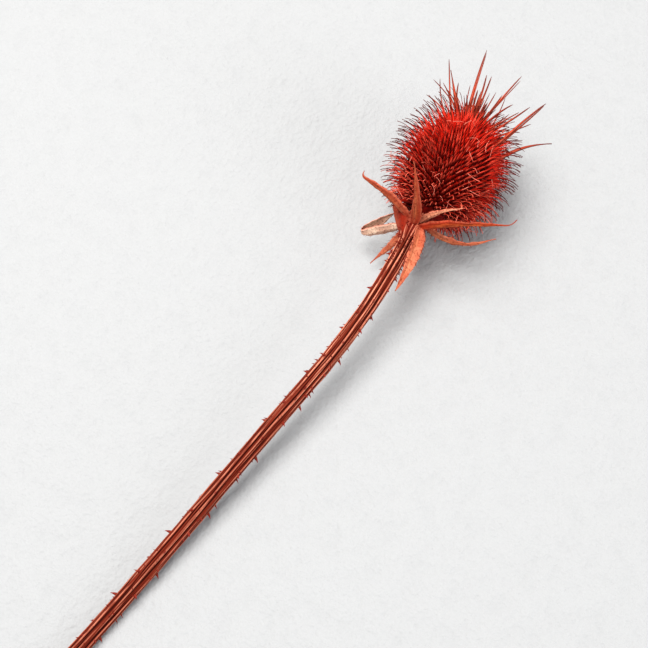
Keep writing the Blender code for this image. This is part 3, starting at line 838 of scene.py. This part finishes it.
class ThistleFlorets(bpy.types.Operator):
    """Dried florets: short crinkled threads that cling between the bristles of the lower half"""

    bl_idname = "thistle.scatter_florets"
    bl_label = "Dried florets"

    def execute(self, context):
        settings = context.scene.thistle_head
        rng = np.random.default_rng(53)
        count = settings.florets
        share = FIRST_SHARE + 0.02 + 0.52 * rng.uniform(0, 1, count) ** 1.1
        turn = rng.uniform(0, math.tau, count)
        stand = rng.uniform(0.35, 0.85, count) * bristle_length(settings, share)
        root_angle = radians(between(ROOT_ANGLE_BASE, ROOT_ANGLE_APEX, share))
        roots = egg(share, turn) + radial(turn, root_angle + 0.15) * stand[:, None]
        t = levels(9)
        way = unit(rng.normal(0, 1, (count, 1, 3)))
        other = unit(np.cross(way, rng.normal(0, 1, (count, 1, 3))))
        length, sway, waves = (rng.uniform(low, high, count)[:, None, None]
                               for low, high in ((0.002, 0.006), (0.1, 0.28), (1.5, 4)))
        at = t[..., None]
        paths = roots[:, None] + length * (way * (at - 0.5) + other * sway * sin(waves * at + waves))
        paths = resting(placed(paths), FLORETS_REST)
        rings = swept(paths, (other @ PLANT_AXES)[:, 0], circle(5), 0.00012, 0.00008)
        skin("dried_florets", rings, floret_look(settings), "dyed_bristle", along=t, shade=rng.uniform(0, 1, count))
        return {"FINISHED"}


def bract_line(row, steps):
    """Points, directions and side directions on a bract's middle, in the plant's frame. The angle to the axis
    runs from the root's to the tip's and the turn swings by the sideways bend; the directions are summed."""
    name, whorl, turn, bend, length, _, root_angle, tip_angle, hook = row[:9]
    drop = WHORL_DROPS[whorl]
    share = np.linspace(-BRACT_ROOT / length, 1, steps)
    eased = smooth((share - SHARP_AT) / SHARP_OVER + 0.5) if name == SHARP else share
    angle = radians(between(root_angle, tip_angle, maximum(eased, 0))) + hook * smooth((share - 0.86) / 0.12)
    share = maximum(share, 0)
    swing = radians(turn + bend * share)
    ways = radial(swing, angle)
    reach = stem_radius(1 - drop / STEM_LENGTH) + BRACT_CLEARANCE
    start = radial(radians(turn)) * reach - UP * drop - ways[0] * BRACT_ROOT
    return share, start + summed(ways, (length + BRACT_ROOT) / (steps - 1)), ways, radial(swing + QUARTER)


def bract_half_width(name, share, width):
    """Widest an eighth of the way along, then a long taper: (1 - s) to 1.15, times 1 + 0.35 s, eased at the
    root. Some stay broad and narrow late, and the one that is bent double pinches in at the bend."""
    shape = (1 - share) ** 1.15 * (1 + 0.35 * share) / 0.92
    if name in NARROWS_OVER:
        shape = minimum(((1 - share) / NARROWS_OVER[name]) ** 0.8, 1)
    if name == SHARP:
        shape = shape * (1 - 0.3 * exp(-(((share - SHARP_AT) / 0.06) ** 2)))
    return maximum(0.5 * width * shape * (0.7 + 0.3 * smooth(share / 0.12)), 0.0002)


def bract_rings(row, settings, rng, steps=72, across=9):
    """A blade folded along its midrib, with a ring of points round each cross section.

    Its upper side is a row of points from margin to margin, lifted by the fold times the distance from the
    midrib, by a wave of the margins, and by a roll near them; its underside is the same row lower by the
    blade's thickness, with the midrib standing out.
    """
    share, points, ways, side = bract_line(row, steps)
    half = bract_half_width(row[0], share, row[5])[:, None]
    s, u = share[:, None], np.linspace(1, -1, across)[None]
    off = np.abs(u)
    normal = np.cross(ways, side)
    phase = rng.uniform(0, math.tau, 4)
    wave = sin(17 * s + phase[0] + 1.4 * np.sign(u)) + 0.6 * sin(41 * s + phase[1] * u)
    wave = settings.margin_wave * row[10] * sin(math.pi * s) * wave * off**1.6 * minimum(half / 0.0018, 1)
    roll = 0.35 * half * maximum(off - 0.55, 0) ** 1.5 * (0.6 + 0.8 * sin(7 * s + phase[2]))
    veins = 0.00008 * cos(u * 13 + sin(s * 9)) * minimum(half / 0.0015, 1)
    lift = half * off * BRACT_FOLD + wave + roll + veins
    rib = settings.midrib_height * exp(-(u * half / 0.00035) ** 2) * (1 - s**2)
    thick = 0.0005 * (1 - 0.45 * off) * minimum(half / 0.0009, 1) + 0.0001
    ragged = 1 + 0.05 * sin(63 * s + phase[3] + u) * (off > 0.9)
    middle = points[:, None] + side[:, None] * (half * u * ragged)[..., None]
    top = middle + normal[:, None] * (lift - 0.3 * rib)[..., None]
    under = middle + normal[:, None] * (lift - thick - rib)[..., None]
    return share, np.concatenate((top, under[:, ::-1]), axis=1), np.concatenate((u, u[:, ::-1]), axis=1)


def spikes(root, out, along, height):
    """Slim cones that rise from their roots along out and lean along by 0.7 of their height times t to 1.6."""
    t = levels(5)[0][:, None]
    paths = root[:, None] - out[:, None] * SPINE_FOOT + (
        out[:, None] * t + along[:, None] * 0.7 * t**1.6) * (height + SPINE_FOOT)[:, None, None]
    slim = maximum(1 - levels(5), 0.07)
    return cleared(placed(swept(paths, along, circle(5), 0.00016 * slim, 0.00012 * slim)))


def add_spines(name, cones, thorny, rng):
    """Lays the dry leaves' spines as one piece."""
    skin(name, cones, thorny, "dry_leaf", along=levels(5), shade=rng.uniform(0.3, 1, len(cones)))


def add_collar(look, rng):
    """The web that joins the bracts' bases on one side: the stem's radius plus up to 6.5 mm times height to
    0.9, with flutes as cosines of the turn and a torn upper edge. Elsewhere it sinks into the stem. Gives its
    spines."""
    sides, steps, count = 144, 12, 70
    turn = turns(sides)[None]
    level = np.concatenate((np.linspace(0, 1, steps), np.linspace(1, 0.05, steps)))[:, None]
    inward = np.repeat((0, 0.00045), steps)[:, None]
    raised = smooth((cos(turn + math.radians(105)) - 0.1) / 0.9)
    torn = 0.0006 * np.abs(sin(4.5 * turn + 0.4)) + 0.0004 * sin(13 * turn) + 0.0003 * sin(31 * turn)
    height = (0.005 + 0.0052 * raised + torn) * level - 0.01
    flutes = 1 + level * (0.055 * cos(9 * turn + 2 * level) + 0.04 * cos(22 * turn + 1))
    radius = stem_radius(1 + minimum(height, -0.001) / STEM_LENGTH) - 0.0002
    radius = (radius + (0.007 * raised - 0.0005) * level**0.9) * flutes - inward
    rings = np.stack((radius * cos(turn), radius * sin(turn), height), axis=-1)
    skin("bract_collar", placed(rings)[None], look, "dry_leaf", along=(0.1 * level**3)[None], shade=-1.5,
         pale=0, across=(0.85 + 0.08 * cos(5 * turn + 2 * level))[None])
    at, column = rng.integers(3, steps, count), rng.integers(0, sides, count)
    root = rings[at, column]
    out = unit(radial(turn[0, column]) + rng.normal(0, 0.25, (count, 3)))
    return spikes(root, out, np.broadcast_to(UP, root.shape), rng.uniform(0.0006, 0.0015, count))


def add_bract(row, settings, look, rng):
    """Lays one bract. Gives its spines: along both margins and under the midrib of the lower two thirds, at
    each a slim cone that leans to the bract's tip."""
    share, rings, across = bract_rings(row, settings, rng)
    skin(row[0] + "_leaf", cleared(placed(rings))[None], look, "dry_leaf", row[0], along=share[None],
         across=across[None], shade=rng.uniform(0.35, 0.9, 1), pale=row[9])
    steps, wide, count = len(rings), across.shape[1] // 2, 30
    keel = wide + wide // 2
    at = np.sort(rng.integers(2, int(steps * 0.68), count))
    column = np.tile((0, wide - 1, keel), count // 3)
    root, middle = rings[at, column], rings[at, wide // 2]
    under = rings[at, keel] - middle
    out = unit(np.where((column == keel)[:, None], under, root - middle + 0.6 * under))
    along = unit(rings[minimum(at + 2, steps - 1), wide // 2] - middle)
    return spikes(root, out, along, rng.uniform(0.0006, 0.0013, count))


class ThistleBracts(bpy.types.Operator):
    """The dry leaves under the head, each on its solid's line, with waved margins, veins and a midrib"""

    bl_idname = "thistle.lay_bracts"
    bl_label = "Bracts"

    def execute(self, context):
        settings = context.scene.thistle_bract
        rng = np.random.default_rng(71)
        look, thorny = leaf_look(settings), thorn_look(context.scene.thistle_stem)
        spines = np.concatenate([add_bract(row, settings, look, rng) for row in BRACTS])
        add_spines("bract_spines", spines, thorny, rng)
        add_spines("collar_spines", add_collar(look, rng), thorny, rng)
        return {"FINISHED"}


def placed_at(name, data, right, up, back, place):
    """Adds an object that looks against its back axis."""
    thing = linked(name, data)
    rows = np.stack((right, up, back, place), axis=1)
    thing.matrix_world = Matrix(rows.tolist() + [[0, 0, 0, 1]])
    return thing


def add_light(name, away, power, size, colour):
    """A round area light that stands this way from the head and shines on it."""
    lamp = bpy.data.lights.new(name, "AREA")
    lamp.energy, lamp.shape, lamp.size, lamp.color = power, "DISK", size, colour
    back = unit(away)
    right = unit(np.cross(UP, back))
    placed_at(name, lamp, right, np.cross(back, right), back, LAMPS_AIM + away * LAMPS_AWAY)


class ThistleStage(bpy.types.Operator):
    """A pale plaster floor, a soft light from the picture's upper left, a pale world and the camera"""

    bl_idname = "thistle.set_stage"
    bl_label = "Floor, lights and camera"

    def execute(self, context):
        settings, scene = context.scene.thistle_stage, context.scene
        mesh = bpy.data.meshes.new("floor")
        mesh.from_pydata([(-4, -4, 0), (4, -4, 0), (4, 4, 0), (-4, 4, 0)], [], [(0, 1, 2, 3)])
        mesh.materials.append(floor_look(settings))
        floor = linked("floor", mesh)
        turn, height = math.radians(CAMERA_TURN), math.radians(CAMERA_HEIGHT)
        back = np.array((math.sin(turn) * math.cos(height), -math.cos(turn) * math.cos(height), math.sin(height)))
        right = np.array((math.cos(turn), math.sin(turn), 0))
        up = np.cross(back, right)
        lens = bpy.data.cameras.new("camera")
        lens.angle, lens.clip_start, lens.clip_end = math.radians(CAMERA_VIEW), 0.01, 20
        scene.camera = placed_at("camera", lens, right, up, back, CAMERA_TARGET + back * CAMERA_DISTANCE)
        add_light("key", up * 0.7 - right * 0.27 + back * 0.84, settings.key_power, 1.12, (1, 0.985, 0.96))
        add_light("fill", right * 0.9 - up * 0.35 + back * 0.7, settings.key_power * 0.31, 0.9, (0.96, 0.98, 1))
        world = bpy.data.worlds.new("pale_studio")
        world.use_nodes = True
        background = world.node_tree.nodes["Background"].inputs
        background["Color"].default_value = (0.97, 0.98, 1, 1)
        background["Strength"].default_value = settings.fill
        scene.world = world
        scene.view_settings.view_transform = "Standard"
        return {"FINISHED"}


OPERATORS = (ThistleStem, ThistleThorns, ThistleHead, ThistleAwns, ThistleFlorets, ThistleBracts, ThistleStage)
SETTINGS = (("thistle_head", ThistleHeadSettings), ("thistle_stem", ThistleStemSettings),
            ("thistle_bract", ThistleBractSettings), ("thistle_stage", ThistleStageSettings))


class ThistlePanel(bpy.types.Panel):
    bl_idname = "VIEW3D_PT_thistle"
    bl_label = "Dried teasel thistle"
    bl_space_type = "VIEW_3D"
    bl_region_type = "UI"
    bl_category = "Thistle"

    def draw(self, context):
        for operator in OPERATORS:
            self.layout.operator(operator.bl_idname)
        for name, group_class in SETTINGS:
            box = self.layout.box()
            for key in group_class.__annotations__:
                box.prop(getattr(context.scene, name), key)


def register():
    for name, group_class in SETTINGS:
        bpy.utils.register_class(group_class)
        setattr(bpy.types.Scene, name, PointerProperty(type=group_class))
    for operator in OPERATORS:
        bpy.utils.register_class(operator)
    bpy.utils.register_class(ThistlePanel)


def unregister():
    bpy.utils.unregister_class(ThistlePanel)
    for operator in reversed(OPERATORS):
        bpy.utils.unregister_class(operator)
    for name, group_class in reversed(SETTINGS):
        delattr(bpy.types.Scene, name)
        bpy.utils.unregister_class(group_class)


def main():
    register()
    bpy.ops.thistle.build_stem()
    bpy.ops.thistle.grow_thorns()
    bpy.ops.thistle.build_head()
    bpy.ops.thistle.grow_awns()
    bpy.ops.thistle.scatter_florets()
    bpy.ops.thistle.lay_bracts()
    bpy.ops.thistle.set_stage()
    bpy.context.view_layer.update()


if __name__ == "__main__":
    main()
